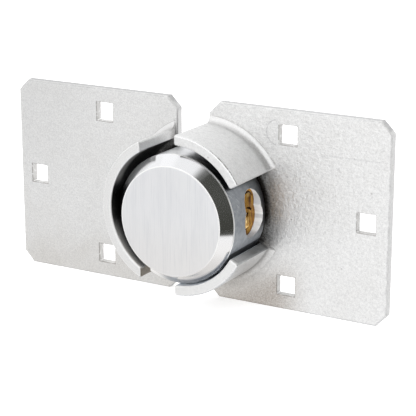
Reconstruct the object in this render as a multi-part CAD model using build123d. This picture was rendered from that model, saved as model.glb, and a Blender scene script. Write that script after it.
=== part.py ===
# Van door lock: two forged hasp halves and a round hidden-shackle lock.
# Millimetres. X runs along the two halves, to the right. Y runs back, towards the doors.
# Z is up. X = 0 is the axis of the locking pin, Y = 0 the doors' face, Z = 0 mid height.
import math
import os

from build123d import *

os.makedirs("parts", exist_ok=True)

# Hasp halves
plate_t = 4.8
plate_w = 110.2
plate_h = 114.0
door_gap = 20.4
corner_clip = 6.5
edge_round = 1.2
hole_side = 11.3
hole_round = 0.5
hole_from_edge = 13.4
hole_from_end = 14.0
hole_spacing = 47.5
inner_edge = door_gap / 2
outer_edge = inner_edge + plate_w

# Round lock outside
lock_r = 36.5
bevel_w = 5.7
bevel_depth = 6.8
lock_front = 47.6
seat_gap = 0.4
edge_break = 0.35
back_chamfer = 0.9
lock_drop = 2.2
face_r = lock_r - bevel_w
lock_x = inner_edge
lock_z = -lock_drop
lock_back = plate_t + seat_gap

# Shroud walls round the lock
shroud_gap = 3.1
shroud_wall = 5.8
shroud_front = 43.2
shroud_root = 3.6
shroud_step = 0.4
shroud_round = 1.2
shroud_set_back = 1.3
left_wall_shift = 2.7
left_wall_tighter = 1.4
upper_arc_end = 29.6
lower_arc_end = -28.4
shroud_in_r = lock_r + shroud_gap
left_wall_x = lock_x - left_wall_shift
left_wall_in_r = shroud_in_r - left_wall_tighter
left_shroud_cut = inner_edge + shroud_set_back

# The lock's mechanism grows with its case
grow = lock_r / 36.5

# Locking pin and the lugs that it passes through
pin_r = 5.0 * grow
pin_y = -26.7
pin_play = 0.1
pin_chamfer = 0.8
eye_play = 0.5
eye_wall = 4.1 * grow
eye_bore_r = pin_r + eye_play
lug_r = eye_bore_r + eye_wall
lug_t = 5.6 * grow
lug_split = 0.6
lug_flare = 1.3
lug_waist_y = -19.0
lug_far = lug_split / 2 + lug_t
tongue_edge = 0.6
tongue_drop = 22.0

# Pocket in the lock for the lugs; heights are measured in the lock from its own middle
pocket_side_play = 2.2
pocket_front_play = 0.9
pocket_low_play = 1.7
pocket_high_play = 0.5
pocket_half_w = lug_r + pocket_side_play
pocket_front = pin_y - lug_r - pocket_front_play
pocket_low = lock_drop - lug_far - pocket_low_play
pocket_high = lock_drop + lug_far + pocket_high_play

# Pin travel
play = 0.2
pin_clear = 0.3
pin_foot = 8.0 * grow
web_t = 2.8
arm_t = 4.3 * grow
pin_low = pin_foot - lock_r
pin_tip = lock_drop - lug_far - pin_clear
web_low = pocket_low - web_t
pin_travel = web_low - play - arm_t - pin_low

# Rack and pinion that carries the pin
pinion_teeth = 12
pressure_angle = 25.0
addendum_share = 0.8
dedendum_share = 1.1
backlash = 0.12
pinion_space = 0.6
slide_wall = 2.6
slide_t = 5.2 * grow
slide_x0 = pocket_half_w + slide_wall
slide_x1 = slide_x0 + slide_t
rack_teeth_below = 7
rack_teeth_above = 1
leg_back = 6.6 * grow
arm_eye_r = pin_r + 1.2 * grow
dowel_r = 1.25 * grow
dowel_inset = 0.5
pinion_pitch_r = pin_travel / math.pi
module_mm = 2 * pinion_pitch_r / pinion_teeth
tooth_pitch = math.pi * module_mm

# Key cylinder: a plug lobe below and a pin chamber lobe above
plug_y = -18.8
plug_z = -0.5
lobe_low_r = 10.2 * grow
lobe_high_r = 8.8 * grow
lobe_rise = 8.0 * grow
shell_play = 0.05
shell_recess = 5.0 * grow
bore_wall = 1.6
clip_room = 1.6
bore_end = slide_x1 + bore_wall
shell_back = bore_end + clip_room
shell_front = lock_x + lock_r - shell_recess
shell_len = shell_front - shell_back
plug_r = 5.75 * grow
plug_play = 0.05
plug_proud = 0.8
ring_gap = 0.7
ring_depth = 1.0
high_disc_r = 6.6 * grow
neck_r = 3.6 * grow
tail_r = 2.6 * grow
tail_flats = 3.8 * grow
tail_hole_r = tail_r + 0.6
clip_r = 5.2 * grow
clip_t = 1.2
keyway_w = 2.2 * grow
keyway_low = -4.4 * grow
keyway_high = 3.4 * grow
keyway_wall = 1.2
ward = 0.7 * grow
high_ward_z = 1.0 * grow
low_ward_z = -2.4 * grow

# Pin stacks
stack_count = 5
stack_pitch = shell_len * 0.18
stack_first_x = shell_front - shell_len * 0.196
stack_r = stack_pitch * 0.41
stack_break = 0.15
chamber_r = stack_r + 0.05
shear_gap = 0.1
driver_len = 4.0 * grow
chamber_top = 15.4 * grow
key_pin_shares = [0.52, 0.73, 0.59, 0.82, 0.66]
key_pin_drop = 1.5
key_pin_top = plug_r - 0.2
spring_wire_r = 0.2
spring_turns = 5
spring_play = 0.05
spring_end = 0.02
strip_w = stack_pitch

# Rear cover and fixings
cover_rim = 4.5
cover_t = 4.2
cover_step = 0.8
cover_play = 0.05
cover_r = lock_r - cover_rim
cover_flat = bore_end - cover_step
slot_back = lock_back + cover_t
channel_front = pin_y - arm_eye_r - play
guide_front = pin_y + arm_eye_r + 0.3
screw_r = 1.5
screw_head_r = 2.8
screw_head_t = 1.6
screw_len = 9.0
screw_socket_r = 1.05
screw_shares = [(-0.44, 0.52), (-0.03, 0.68), (-0.73, 0.05), (-0.62, -0.47)]
set_screw_r = 2.0
set_screw_socket_r = 1.0
set_screw_grip = 1.8
set_screw_x = shell_front - 9.7 * grow
set_screw_end = plug_y + lobe_low_r - set_screw_grip
big = 200.0


def box(x0, x1, y0, y1, z0, z1):
    """A block between two corners."""
    size = (x1 - x0, y1 - y0, z1 - z0)
    return Pos((x0 + x1) / 2, (y0 + y1) / 2, (z0 + z1) / 2) * Box(*size)


def rod_x(r, x0, x1, y, z):
    """A round rod along X."""
    return Pos((x0 + x1) / 2, y, z) * Rot(0, 90, 0) * Cylinder(r, x1 - x0)


def rod_y(r, y0, y1, x, z):
    """A round rod along Y."""
    return Pos(x, (y0 + y1) / 2, z) * Rot(90, 0, 0) * Cylinder(r, y1 - y0)


def rod_z(r, z0, z1, x, y):
    """A round rod along Z."""
    return Pos(x, y, (z0 + z1) / 2) * Cylinder(r, z1 - z0)


def turned(points, x, z):
    """A solid turned about a line along Y, from radius and Y points."""
    return Pos(x, 0, z) * revolve(make_face(Polyline(points, close=True)), Axis.Y)


def in_lock(z):
    """Height in the whole object of a height measured in the lock."""
    return z + lock_z


def shroud_ring(in_r, centre_x):
    """A full round wall with a stepped fillet at its root."""
    out_r = in_r + shroud_wall
    root_r = out_r + shroud_root
    sunk = -plate_t / 2
    step_y = -plate_t - shroud_step
    root_y = step_y - shroud_root
    q = math.sqrt(0.5)
    outline = [
        Line((in_r, sunk), (in_r, -shroud_front)),
        Line((in_r, -shroud_front), (out_r, -shroud_front)),
        Line((out_r, -shroud_front), (out_r, root_y)),
        ThreePointArc(
            (out_r, root_y),
            (root_r - shroud_root * q, root_y + shroud_root * q),
            (root_r, step_y),
        ),
        Line((root_r, step_y), (root_r, sunk)),
        Line((root_r, sunk), (in_r, sunk)),
    ]
    return Pos(centre_x, 0, 0) * revolve(make_face(outline), Axis.Y)


def rounded(wall):
    """A cut piece of the wall, with its front edges and cut corners rounded."""
    front = [e for e in wall.edges() if e.bounding_box().min.Y < -shroud_front + play]
    return fillet(front, shroud_round)


def wedge(angle_low, angle_high):
    """A sector of space round the lock's axis, between two angles."""
    points = [(0, 0)]
    for share in (0.0, 0.5, 1.0):
        angle = math.radians(angle_low + (angle_high - angle_low) * share)
        points.append((big * math.cos(angle), big * math.sin(angle)))
    face = make_face(Polyline(points, close=True))
    return Pos(lock_x, 0, 0) * extrude(Plane.XZ * face, amount=big)


def lug():
    """The right half's ear for the locking pin, with its tongue in the door gap."""
    top = -lug_split / 2
    back = -plate_t / 2
    outline = [
        (tongue_edge, 0),
        (lug_r, 0),
        (lug_r, back),
        (lug_r + lug_flare, back),
        (lug_r + lug_flare, -plate_t),
        (lug_r, lug_waist_y),
        (lug_r, pin_y),
        (-lug_r, pin_y),
        (-lug_r, lug_waist_y),
        (tongue_edge, -plate_t - lug_t / 2),
    ]
    ear = extrude(make_face(Polyline(outline, close=True)), amount=lug_t)
    ear += Pos(0, pin_y, lug_t / 2) * Cylinder(lug_r, lug_t)
    ear -= Pos(0, pin_y, lug_t / 2) * Cylinder(eye_bore_r, lug_t * 2)
    ear = Pos(0, 0, top - lug_t) * ear
    tongue = [
        (tongue_edge, top),
        (inner_edge + edge_round, top),
        (inner_edge + edge_round, -tongue_drop),
        (tongue_edge + corner_clip, -tongue_drop),
        (tongue_edge, -tongue_drop + corner_clip),
    ]
    return ear + extrude(Plane.XZ * make_face(Polyline(tongue, close=True)), amount=plate_t)


def half():
    """What both halves share: plate, clipped corners, three square holes and the ear."""
    half_h = plate_h / 2
    outline = [
        (inner_edge + corner_clip, -half_h),
        (outer_edge - corner_clip, -half_h),
        (outer_edge, -half_h + corner_clip),
        (outer_edge, half_h - corner_clip),
        (outer_edge - corner_clip, half_h),
        (inner_edge + corner_clip, half_h),
        (inner_edge, half_h - corner_clip),
        (inner_edge, -half_h + corner_clip),
    ]
    plate = extrude(Plane.XZ * make_face(Polyline(outline, close=True)), amount=plate_t)
    plate = fillet(plate.faces().sort_by(Axis.Y)[0].edges(), edge_round)
    outer_x = outer_edge - hole_from_edge
    hole_height = half_h - hole_from_end
    places = [
        (outer_x, 0),
        (outer_x - hole_spacing, hole_height),
        (outer_x - hole_spacing, -hole_height),
    ]
    for x, z in places:
        square = Pos(x, z) * RectangleRounded(hole_side, hole_side, hole_round)
        plate -= extrude(Plane.XZ * square, amount=plate_t * 2, both=True)
    return plate + lug()


def right_plate():
    """The right half: two arcs of the shroud, open on the right for the key."""
    ring = shroud_ring(shroud_in_r, lock_x)
    beside = box(inner_edge, big, -big, big, -big, big)
    upper = ring & wedge(upper_arc_end, 100) & beside
    lower = ring & wedge(-100, lower_arc_end) & beside
    return half() + rounded(upper) + rounded(lower)


def left_plate():
    """The left half: the same forging turned half round, with one C-shaped wall."""
    ring = shroud_ring(left_wall_in_r, left_wall_x)
    wall = ring & box(-big, -left_shroud_cut, -big, big, -big, big)
    return Rot(0, 180, 0) * half() + rounded(wall)


def figure_eight(low_r, high_r, x0, x1):
    """The cylinder's two-lobed section, drawn along X."""
    low = rod_x(low_r, x0, x1, plug_y, in_lock(plug_z))
    return low + rod_x(high_r, x0, x1, plug_y, in_lock(plug_z + lobe_rise))


def stack_xs():
    """Places of the pin stacks along the plug."""
    return [stack_first_x - i * stack_pitch for i in range(stack_count)]


def lock_body():
    """The round lock case: turned outside, milled pocket and channels, drilled bores."""
    side_front = lock_front - bevel_depth
    body = turned(
        [
            (0, -lock_back),
            (lock_r - back_chamfer, -lock_back),
            (lock_r, -lock_back - back_chamfer),
            (lock_r, -side_front + edge_break),
            (lock_r - edge_break, -side_front - edge_break),
            (face_r + edge_break, -lock_front + edge_break),
            (face_r - edge_break, -lock_front),
            (0, -lock_front),
        ],
        lock_x,
        lock_z,
    )
    body -= cover_blank(0) + pocket_space(0) + slide_space()
    body -= figure_eight(lobe_low_r, lobe_high_r, bore_end, big)
    tip_space = in_lock(pin_tip + pin_travel) + play
    body -= rod_z(pin_r + pin_play, in_lock(web_low) - play, tip_space, 0, pin_y)
    body -= rod_z(pin_r + pin_play, -lock_r * 2, in_lock(pin_low), 0, pin_y)
    body -= rod_x(tail_hole_r, slide_x1, bore_end + play, plug_y, in_lock(plug_z))
    pinion_room = pinion_tip_r() + pinion_space
    body -= rod_x(pinion_room, slide_x0 - play, slide_x1 + play, plug_y, in_lock(plug_z))
    for x, z in screw_centres():
        body -= rod_y(screw_r, -lock_back - screw_len, -lock_back, x, z)
    return body - rod_y(set_screw_r, plug_y, 0, set_screw_x, in_lock(plug_z))


def screw_centres():
    """X and Z of the cover screws."""
    return [(lock_x + x * lock_r, lock_z + z * lock_r) for x, z in screw_shares]


def pocket_space(shrink):
    """The rear pocket that drops over both ears."""
    w = pocket_half_w - shrink
    return box(-w, w, pocket_front, 0, in_lock(pocket_low), in_lock(pocket_high))


def slide_space():
    """The channel for the slide's arm and rack leg, open to the rear."""
    low = in_lock(pin_low) - play * 2
    left = -arm_eye_r - play
    arm = box(left, slide_x1 + play, channel_front, -slot_back, low, in_lock(web_low))
    leg_top = in_lock(leg_high() + pin_travel) + play * 2
    leg_front = rack_line() - leg_back - play
    leg = box(slide_x0 - play, slide_x1 + play, leg_front, -slot_back, low, leg_top)
    return arm + leg


def cover_blank(shrink):
    """The rear cover's outline, cut straight beside the key cylinder."""
    disc = rod_y(cover_r - shrink, -slot_back, -lock_back, lock_x, lock_z)
    return disc & box(-big, cover_flat - shrink, -big, 0, -big, big)


def rear_cover():
    """The plate that closes the milled rear, with the pocket's mouth through it."""
    cover = cover_blank(cover_play) - pocket_space(0)
    for x, z in screw_centres():
        cover -= rod_y(screw_r, -big, 0, x, z)
        cover -= screw_head(x, z)
    return cover


def screw_head(x, z):
    """The countersunk head of a cover screw."""
    back = -lock_back
    points = [
        (0, back),
        (screw_head_r, back),
        (screw_r, back - screw_head_t),
        (0, back - screw_head_t),
    ]
    return turned(points, x, z)


def cover_screws():
    """Four countersunk screws with hexagon sockets."""
    screws = []
    for x, z in screw_centres():
        screw = rod_y(screw_r, -lock_back - screw_len, -lock_back, x, z) + screw_head(x, z)
        socket = Plane.XZ * (Pos(x, z) * RegularPolygon(screw_socket_r, 6))
        screws.append(screw - Pos(0, -lock_back, 0) * extrude(socket, amount=screw_head_t))
    return Compound(children=screws)


def cylinder_shell():
    """The brass two-lobed shell with its plug bore, pin chambers and stepped face."""
    shell = shell_blank()
    low_z = in_lock(plug_z)
    high_z = low_z + lobe_rise
    face = shell_front
    plug_ring = plug_r + ring_gap
    rise = rod_x(high_disc_r, face - 1, face + plug_proud, plug_y, high_z)
    rise = chamfer(rise.faces().sort_by(Axis.X)[-1].edges(), plug_proud * 0.5)
    groove = rod_x(high_disc_r + ring_gap, face - ring_depth, face + 1, plug_y, high_z)
    shell = shell - groove + (rise + rod_x(high_disc_r, face - 2, face, plug_y, high_z))
    shell -= rod_x(plug_ring, face - ring_depth, face + 2, plug_y, low_z)
    shell -= rod_x(plug_r + plug_play, 0, big, plug_y, low_z)
    for x in stack_xs():
        shell -= rod_z(chamber_r, low_z, low_z + chamber_top, x, plug_y)
    shell -= strip_space()
    return shell - rod_y(set_screw_r, set_screw_end, 0, set_screw_x, low_z)


def shell_blank():
    """The shell's outside, before it is bored."""
    low_r = lobe_low_r - shell_play
    high_r = lobe_high_r - shell_play
    return figure_eight(low_r, high_r, shell_back, shell_front)


def strip_space():
    """The slot along the top of the shell, above the pin chambers."""
    low = in_lock(plug_z) + chamber_top
    half_w = strip_w / 2
    front = stack_first_x + stack_pitch / 2
    return box(shell_back, front, plug_y - half_w, plug_y + half_w, low, big)


def chamber_cover():
    """The brass strip that closes the pin chambers."""
    return shell_blank() & strip_space()


def tail_section(x0, x1):
    """The plug's tail: round with two flats."""
    z = in_lock(plug_z)
    flats = tail_flats / 2
    return rod_x(tail_r, x0, x1, plug_y, z) & box(x0, x1, -big, big, z - flats, z + flats)


def cylinder_plug():
    """The plug that the key turns, with a warded keyway, pin holes and a driving tail."""
    z = in_lock(plug_z)
    neck_start = bore_end + play
    plug = rod_x(plug_r, neck_start + clip_t, shell_front + plug_proud, plug_y, z)
    plug = chamfer(plug.faces().sort_by(Axis.X)[-1].edges(), plug_proud * 0.5)
    plug += rod_x(neck_r, neck_start, neck_start + clip_t + 1, plug_y, z)
    plug += tail_section(slide_x0 + play, neck_start + 1)
    half_w = keyway_w / 2
    keyway_end = shell_back + keyway_wall
    slot = box(keyway_end, big, plug_y - half_w, plug_y + half_w, z + keyway_low, z + keyway_high)
    high_z = z + high_ward_z
    low_z = z + low_ward_z
    high_ward = box(keyway_end, big, plug_y + half_w - ward, plug_y + half_w, high_z, high_z + ward * 2)
    low_ward = box(keyway_end, big, plug_y - half_w, plug_y - half_w + ward, low_z, low_z + ward * 2)
    plug -= slot - high_ward - low_ward
    pin_floor = z + key_pin_top - max(key_pin_shares) * plug_r - key_pin_drop - play
    for x in stack_xs():
        plug -= rod_z(chamber_r, pin_floor, z + plug_r, x, plug_y)
    return plug


def plug_clip():
    """The open ring that holds the plug in its shell."""
    z = in_lock(plug_z)
    x0 = bore_end + play
    ring = rod_x(clip_r, x0, x0 + clip_t, plug_y, z) - rod_x(neck_r, x0, x0 + clip_t, plug_y, z)
    return ring - box(x0, x0 + clip_t, plug_y - neck_r / 2, plug_y + neck_r / 2, z - big, z)


def key_pin(i):
    """A key pin with a pointed end, its top at the shear line."""
    x = stack_xs()[i]
    top = in_lock(plug_z) + key_pin_top
    low = top - key_pin_shares[i] * plug_r
    pin = rod_z(stack_r, low, top, x, plug_y)
    return chamfer(pin.faces().sort_by(Axis.Z)[0].edges(), stack_r * 0.6)


def driver_z():
    """Height of the foot of each driver pin, just above the shear line."""
    return in_lock(plug_z) + plug_r + shear_gap


def driver_pin(i):
    """A driver pin, resting on the shear line."""
    x = stack_xs()[i]
    pin = rod_z(stack_r, driver_z(), driver_z() + driver_len, x, plug_y)
    return chamfer(pin.edges().filter_by(GeomType.CIRCLE), stack_break)


def pin_spring(i):
    """The coil spring over a driver pin."""
    low = driver_z() + driver_len + spring_wire_r + spring_end
    high = in_lock(plug_z) + chamber_top - spring_wire_r - spring_end
    coil_r = stack_r - spring_wire_r - spring_play
    path = Helix((high - low) / spring_turns, high - low, coil_r)
    wire = sweep(Plane(path @ 0, z_dir=path % 0) * Circle(spring_wire_r), path)
    return Pos(stack_xs()[i], plug_y, low) * wire


def pinion_tip_r():
    """Outside radius of the drive pinion."""
    return pinion_pitch_r + addendum_share * module_mm


def rack_line():
    """Y of the line where rack and pinion roll together, in front of the plug."""
    return plug_y - pinion_pitch_r


def drive_pinion():
    """The twelve-tooth pinion on the plug's tail, with involute flanks."""
    base_r = pinion_pitch_r * math.cos(math.radians(pressure_angle))
    root_r = pinion_pitch_r - dedendum_share * module_mm
    half_tooth = (tooth_pitch - backlash) / (4 * pinion_pitch_r)

    def roll(r):
        a = math.acos(min(1.0, base_r / r))
        return math.tan(a) - a

    flank = [base_r + (pinion_tip_r() - base_r) * k / 4 for k in range(5)]
    points = []
    for tooth in range(pinion_teeth):
        middle = (tooth + 0.5) * 2 * math.pi / pinion_teeth
        side = [(root_r, half_tooth + roll(pinion_pitch_r))]
        side += [(r, half_tooth + roll(pinion_pitch_r) - roll(r)) for r in flank]
        points += [(r, middle - a) for r, a in side]
        points += [(r, middle + a) for r, a in reversed(side)]
    outline = Polyline([(r * math.cos(a), r * math.sin(a)) for r, a in points], close=True)
    centre = (slide_x0 + play, plug_y, in_lock(plug_z))
    place = Plane(origin=centre, x_dir=(0, 1, 0), z_dir=(1, 0, 0))
    wheel = extrude(place * make_face(outline), amount=slide_x1 - slide_x0 - play * 2)
    return wheel - tail_section(slide_x0, slide_x1)


def leg_high():
    """Top of the rack leg at rest, measured in the lock."""
    return plug_z + (rack_teeth_above + 0.5) * tooth_pitch


def pin_slide():
    """The slide: an arm that grips the pin's foot, and a leg with the rack."""
    low = in_lock(pin_low)
    add = addendum_share * module_mm
    ded = dedendum_share * module_mm
    lean = math.tan(math.radians(pressure_angle))
    half_tooth = tooth_pitch / 4 - backlash / 4
    line = rack_line()
    outline = [(line - leg_back, low), (line - ded, low)]
    for k in range(-rack_teeth_below, rack_teeth_above + 1):
        z = in_lock(plug_z) + k * tooth_pitch
        root = half_tooth + ded * lean
        tip = half_tooth - add * lean
        outline += [(line - ded, z - root), (line + add, z - tip)]
        outline += [(line + add, z + tip), (line - ded, z + root)]
    outline += [(line - ded, in_lock(leg_high())), (line - leg_back, in_lock(leg_high()))]
    place = Plane(origin=(slide_x0, 0, 0), x_dir=(0, 1, 0), z_dir=(1, 0, 0))
    leg = extrude(place * make_face(Polyline(outline, close=True)), amount=slide_x1 - slide_x0)
    front = line - leg_back
    arm = box(0, slide_x0 + 1, front, line - ded, low, low + arm_t)
    slide = leg + arm + rod_z(arm_eye_r, low, low + arm_t, 0, pin_y)
    slide -= rod_z(pin_r, low - 1, low + arm_t + 1, 0, pin_y)
    return slide - dowel()


def dowel():
    """The dowel that ties pin and slide together."""
    z = in_lock(pin_low) + arm_t / 2
    return rod_x(dowel_r, -arm_eye_r + dowel_inset, arm_eye_r * 1.4, pin_y, z)


def locking_pin():
    """The hardened pin, drawn back out of both ears."""
    pin = rod_z(pin_r, in_lock(pin_low), in_lock(pin_tip), 0, pin_y)
    pin = chamfer(pin.faces().sort_by(Axis.Z)[-1].edges(), pin_chamfer)
    return pin - dowel()


def slide_guide():
    """The block behind the arm that keeps the slide against the front of its channel."""
    low = in_lock(pin_low) - play
    high = in_lock(web_low) - play
    return box(-arm_eye_r, slide_x1, guide_front, -slot_back, low, high)


def bore_plug():
    """The plug pressed into the pin's bore, dressed flush with the lock's side."""
    side = turned(
        [(0, 0), (lock_r, 0), (lock_r, -lock_front), (0, -lock_front)],
        lock_x,
        lock_z,
    )
    top = in_lock(pin_low) - play * 2
    return rod_z(pin_r + pin_play, -lock_r * 2, top, 0, pin_y) & side


def cylinder_screw():
    """The set screw through the lock's rear face that holds the shell."""
    z = in_lock(plug_z)
    screw = rod_y(set_screw_r, set_screw_end, -lock_back - play, set_screw_x, z)
    socket = Plane.XZ * (Pos(set_screw_x, z) * RegularPolygon(set_screw_socket_r, 6))
    return screw - Pos(0, -lock_back, 0) * extrude(socket, amount=set_screw_r)


makers = {
    "right_plate": right_plate,
    "left_plate": left_plate,
    "lock_body": lock_body,
    "rear_cover": rear_cover,
    "cover_screws": cover_screws,
    "cylinder_shell": cylinder_shell,
    "chamber_cover": chamber_cover,
    "cylinder_plug": cylinder_plug,
    "plug_clip": plug_clip,
    "drive_pinion": drive_pinion,
    "pin_slide": pin_slide,
    "slide_dowel": dowel,
    "locking_pin": locking_pin,
    "slide_guide": slide_guide,
    "bore_plug": bore_plug,
    "cylinder_screw": cylinder_screw,
}
for name, maker in makers.items():
    export_step(maker(), "parts/" + name + ".step")
for index in range(stack_count):
    number = str(index + 1)
    export_step(key_pin(index), "parts/key_pin_" + number + ".step")
    export_step(driver_pin(index), "parts/driver_pin_" + number + ".step")
    export_step(pin_spring(index), "parts/pin_spring_" + number + ".step")
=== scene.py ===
import math

import bpy
from bpy.props import FloatProperty, FloatVectorProperty, IntProperty, PointerProperty
from mathutils import Matrix, Vector


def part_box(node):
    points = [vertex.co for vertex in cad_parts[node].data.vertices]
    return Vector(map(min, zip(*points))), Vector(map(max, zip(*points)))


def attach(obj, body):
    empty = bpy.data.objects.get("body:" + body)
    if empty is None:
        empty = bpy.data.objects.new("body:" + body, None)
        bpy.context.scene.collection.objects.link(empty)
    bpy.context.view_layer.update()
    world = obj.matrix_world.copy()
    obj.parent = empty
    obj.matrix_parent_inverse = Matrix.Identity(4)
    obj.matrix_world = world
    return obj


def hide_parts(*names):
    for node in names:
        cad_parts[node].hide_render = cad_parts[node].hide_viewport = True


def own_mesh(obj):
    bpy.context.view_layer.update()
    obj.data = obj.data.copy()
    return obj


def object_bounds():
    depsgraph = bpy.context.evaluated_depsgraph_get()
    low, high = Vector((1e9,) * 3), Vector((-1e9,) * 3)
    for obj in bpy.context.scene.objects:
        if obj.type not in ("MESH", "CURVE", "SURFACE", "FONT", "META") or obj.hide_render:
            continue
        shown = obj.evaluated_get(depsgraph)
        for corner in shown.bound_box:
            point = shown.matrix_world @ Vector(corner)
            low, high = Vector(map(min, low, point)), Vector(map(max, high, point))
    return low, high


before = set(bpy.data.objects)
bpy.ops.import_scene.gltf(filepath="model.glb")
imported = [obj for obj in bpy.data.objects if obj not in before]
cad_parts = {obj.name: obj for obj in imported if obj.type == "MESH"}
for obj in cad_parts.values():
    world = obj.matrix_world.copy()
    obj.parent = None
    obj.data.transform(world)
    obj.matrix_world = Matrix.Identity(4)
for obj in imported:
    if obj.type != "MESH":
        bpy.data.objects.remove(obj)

bl_info = {
    "name": "Van Lock Finishes",
    "version": (1, 0, 0),
    "blender": (4, 5, 0),
    "location": "View3D > Sidebar > Van Lock",
    "description": "Metal finishes, pin springs and studio for a van lock set",
    "category": "Object",
}

MM = 0.001
cad_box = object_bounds()
case_low, case_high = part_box("lock_body")
right_low, right_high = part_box("right_plate")
shell_low, shell_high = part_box("cylinder_shell")
plug_low, plug_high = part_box("cylinder_plug")

# Places in millimetres, as the finishes read them.
case_x = (case_low.x + case_high.x) / 2 / MM
case_z = (case_low.z + case_high.z) / 2 / MM
case_r = (case_high.x - case_low.x) / 2 / MM
case_front = case_low.y / MM
plug_y = (plug_low.y + plug_high.y) / 2 / MM
plug_z = (plug_low.z + plug_high.z) / 2 / MM
half_h = right_high.z / MM
outer_x = right_high.x / MM
wall_front = right_low.y / MM


class HaspSizes(bpy.types.PropertyGroup):
    """Sizes of the hasp halves' finish, in millimetres."""

    plate_t: FloatProperty(
        name="Plate thickness",
        description="Thickness of both plates, in mm",
        default=4.8,
    )
    inner_edge: FloatProperty(
        name="Inner edge",
        description="From the middle of the door gap to a plate, in mm",
        default=10.2,
    )
    corner_clip: FloatProperty(
        name="Corner clip",
        description="Leg of each clipped corner, in mm",
        default=6.5,
    )
    hole_half: FloatProperty(
        name="Half hole",
        description="Half the side of a square hole, in mm",
        default=5.65,
    )
    outer_hole: FloatProperty(
        name="Outer hole",
        description="From the door gap to the middle of an outer hole, in mm",
        default=107.0,
    )
    inner_hole: FloatProperty(
        name="Inner holes",
        description="From the door gap to the middles of the inner holes, in mm",
        default=59.5,
    )
    hole_rise: FloatProperty(
        name="Hole rise",
        description="How far the inner holes lie above and below the middle, in mm",
        default=43.0,
    )
    wall_in_r: FloatProperty(
        name="Wall's inside",
        description="Inside radius of the right half's walls, in mm",
        default=39.6,
    )
    wall_t: FloatProperty(
        name="Wall thickness",
        description="Thickness of the walls round the lock, in mm",
        default=5.8,
    )
    left_shift: FloatProperty(
        name="Left wall shift",
        description="How far the left wall's centre lies to the left, in mm",
        default=2.7,
    )
    left_tighter: FloatProperty(
        name="Left wall tighter",
        description="How much smaller the left wall's radius is, in mm",
        default=1.4,
    )
    low_end: FloatProperty(
        name="Lower arc's end",
        description="Angle of the lower arc's end below level, in degrees",
        default=28.4,
    )
    root_r: FloatProperty(
        name="Wall's root",
        description="Radius of the fillet at the walls' root, in mm",
        default=3.6,
    )
    grain: FloatProperty(
        name="Grain",
        description="Size of the left half's grain, in mm",
        default=0.9,
        min=0.1,
    )
    fine_grain: FloatProperty(
        name="Fine grain",
        description="Size of the plating's finest grain on both halves, in mm",
        default=0.42,
        min=0.05,
    )
    pits: FloatProperty(
        name="Pits",
        description="Depth of the left half's pits, in mm",
        default=0.05,
        min=0.0,
    )
    right_coarser: FloatProperty(
        name="Right half coarser",
        description="How many times coarser and deeper the right half's skin is",
        default=1.7,
        min=0.1,
    )
    pad_x: FloatProperty(
        name="Pad from gap",
        description="From the door gap to the middle of the outline by the upper hole, in mm",
        default=53.5,
    )
    pad_z: FloatProperty(
        name="Pad height",
        description="Height of the outline's middle above the plate's middle, in mm",
        default=44.0,
    )
    pad_r: FloatProperty(
        name="Pad radius",
        description="Radius of the outline by the upper hole, in mm",
        default=7.1,
    )
    die_line_x: FloatProperty(
        name="Die line's start",
        description="From the door gap to where the faint line near the upper hole starts, in mm",
        default=82.0,
    )
    die_line_z: FloatProperty(
        name="Die line height",
        description="Height of the faint line near the upper hole above the plate's middle, in mm",
        default=34.7,
    )


class CaseSizes(bpy.types.PropertyGroup):
    """Sizes of the lock case's and the key cylinder's finish, in millimetres."""

    face_r: FloatProperty(
        name="Face radius",
        description="Radius of the flat brushed face, in mm",
        default=30.8,
    )
    bevel_depth: FloatProperty(
        name="Bevel depth",
        description="Depth of the polished bevel, in mm",
        default=6.8,
    )
    brush_line: FloatProperty(
        name="Brush line",
        description="Width of a brushed line, in mm",
        default=0.7,
        min=0.05,
    )
    low_lobe_r: FloatProperty(
        name="Low lobe",
        description="Radius of the pocket's lower lobe, in mm",
        default=10.2,
    )
    high_lobe_r: FloatProperty(
        name="High lobe",
        description="Radius of the pocket's upper lobe, in mm",
        default=8.8,
    )
    lobe_rise: FloatProperty(
        name="Lobe rise",
        description="Distance between the lobes' centres, in mm",
        default=8.0,
    )
    disc_proud: FloatProperty(
        name="Disc proud",
        description="How far the brass discs stand out of the shell's face, in mm",
        default=0.8,
    )
    gap_r: FloatProperty(
        name="Plug gap",
        description="Radius of the dark ring round the plug, in mm",
        default=5.7,
    )
    high_gap_r: FloatProperty(
        name="Upper ring",
        description="Radius of the dark ring on the shell's upper lobe, in mm",
        default=6.9,
    )


class SpringSizes(bpy.types.PropertyGroup):
    """Sizes of the pin springs, in millimetres."""

    coil_r: FloatProperty(
        name="Coil radius",
        description="Radius of a spring's coil, in mm",
        default=1.14,
    )
    wire_r: FloatProperty(
        name="Wire radius",
        description="Radius of the spring wire, in mm",
        default=0.2,
    )
    turns: IntProperty(
        name="Turns",
        description="Turns of each spring, ends counted",
        default=7,
        min=3,
    )
    end_share: FloatProperty(
        name="Closed ends",
        description="How far the end turns close up",
        default=0.7,
        min=0,
        max=1,
    )
    squashed: FloatProperty(
        name="Squashed",
        description="Share of a spring's length that is left with its driver pin fully lifted",
        default=0.73,
        min=0.1,
        max=1,
    )


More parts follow.
